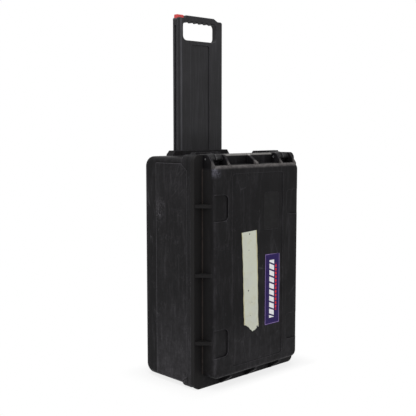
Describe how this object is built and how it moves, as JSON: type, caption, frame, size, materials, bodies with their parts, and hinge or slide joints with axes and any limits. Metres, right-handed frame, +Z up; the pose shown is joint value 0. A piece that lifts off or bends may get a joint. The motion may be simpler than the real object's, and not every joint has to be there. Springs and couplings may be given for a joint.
{
  "type": "wheeled hard transport case",
  "caption": "Upright wheeled hard transport case with a ribbed lid, two latches, and a flat pull handle drawn out at the top.",
  "frame": {"origin": "middle of the footprint of the standing case, on the floor", "axes": "+X across the case to the right seen from the lid, -Y out of the lid, +Y out of the back, +Z up towards the pull handle"},
  "size_m": [0.355, 0.229, 0.9053],
  "materials": {
    "shell": "fine moulded texture, worn",
    "handle": "satin",
    "latch": "satin",
    "release": "gloss",
    "hub": "satin",
    "tyre": "matt",
    "grip": "matt",
    "seal": "matt",
    "steel": "brushed"
  },
  "bodies": {
    "base": {"base_shell": "shell", "hinge_pin_left": "steel", "hinge_pin_right": "steel", "handle_collar": "shell", "handle_cover": "shell", "cover_screws": "steel", "wheel_axle_left": "steel", "wheel_axle_right": "steel", "side_handle_pins": "steel"},
    "lid": {"lid_shell": "shell", "lid_gasket": "seal", "latch_pin_left": "steel", "latch_pin_right": "steel"},
    "latch_left": {"latch_lever_left": "latch"},
    "latch_right": {"latch_lever_right": "latch"},
    "latch_button_left": {"latch_button_left": "latch"},
    "latch_button_right": {"latch_button_right": "latch"},
    "pull_handle": {"trolley_handle": "handle"},
    "release": {"release_button": "release", "lock_rod": "steel"},
    "lock": {"lock_bolt": "steel"},
    "side_bow": {"side_handle": "latch", "side_handle_grip": "grip"},
    "wheel_left": {"wheel_hub_left": "hub", "wheel_tyre_left": "tyre"},
    "wheel_right": {"wheel_hub_right": "hub", "wheel_tyre_right": "tyre"}
  },
  "joints": [
    {"name": "lid_hinge", "type": "hinge", "parent": "base", "child": "lid", "pos_m": [0, -0.0635, 0.0063], "axis": [1, 0, 0], "range_deg": [0, 105]},
    {"name": "latch_left_pivot", "type": "hinge", "parent": "lid", "child": "latch_left", "pos_m": [-0.1185, -0.081, 0.549], "axis": [1, 0, 0], "range_deg": [0, 95]},
    {"name": "latch_right_pivot", "type": "hinge", "parent": "lid", "child": "latch_right", "pos_m": [0.1185, -0.081, 0.549], "axis": [1, 0, 0], "range_deg": [0, 95]},
    {"name": "latch_button_left_press", "type": "slide", "parent": "latch_left", "child": "latch_button_left", "axis": [0, 0, -1], "range_m": [0, 0.002], "stiffness_N_per_m": 300},
    {"name": "latch_button_right_press", "type": "slide", "parent": "latch_right", "child": "latch_button_right", "axis": [0, 0, -1], "range_m": [0, 0.002], "stiffness_N_per_m": 300},
    {"name": "pull_handle_slide", "type": "slide", "parent": "base", "child": "pull_handle", "axis": [0, 0, -1], "range_m": [0, 0.335]},
    {"name": "release_press", "type": "slide", "parent": "pull_handle", "child": "release", "axis": [0, 0, -1], "range_m": [0, 0.003], "stiffness_N_per_m": 3000},
    {"name": "lock_bolt_slide", "type": "slide", "parent": "pull_handle", "child": "lock", "axis": [1, 0, 0], "range_m": [0, 0.003]},
    {"name": "side_handle_pivot", "type": "hinge", "parent": "base", "child": "side_bow", "pos_m": [0.171, 0.0165, 0.277], "axis": [0, 0, 1], "range_deg": [0, 90]},
    {"name": "wheel_left_spin", "type": "hinge", "parent": "base", "child": "wheel_left", "pos_m": [-0.131, 0.0905, 0.024], "axis": [1, 0, 0], "continuous": true},
    {"name": "wheel_right_spin", "type": "hinge", "parent": "base", "child": "wheel_right", "pos_m": [0.131, 0.0905, 0.024], "axis": [1, 0, 0], "continuous": true}
  ],
  "couplings": [
    {"joint": "lock_bolt_slide", "follows": "release_press", "ratio": 1}
  ]
}
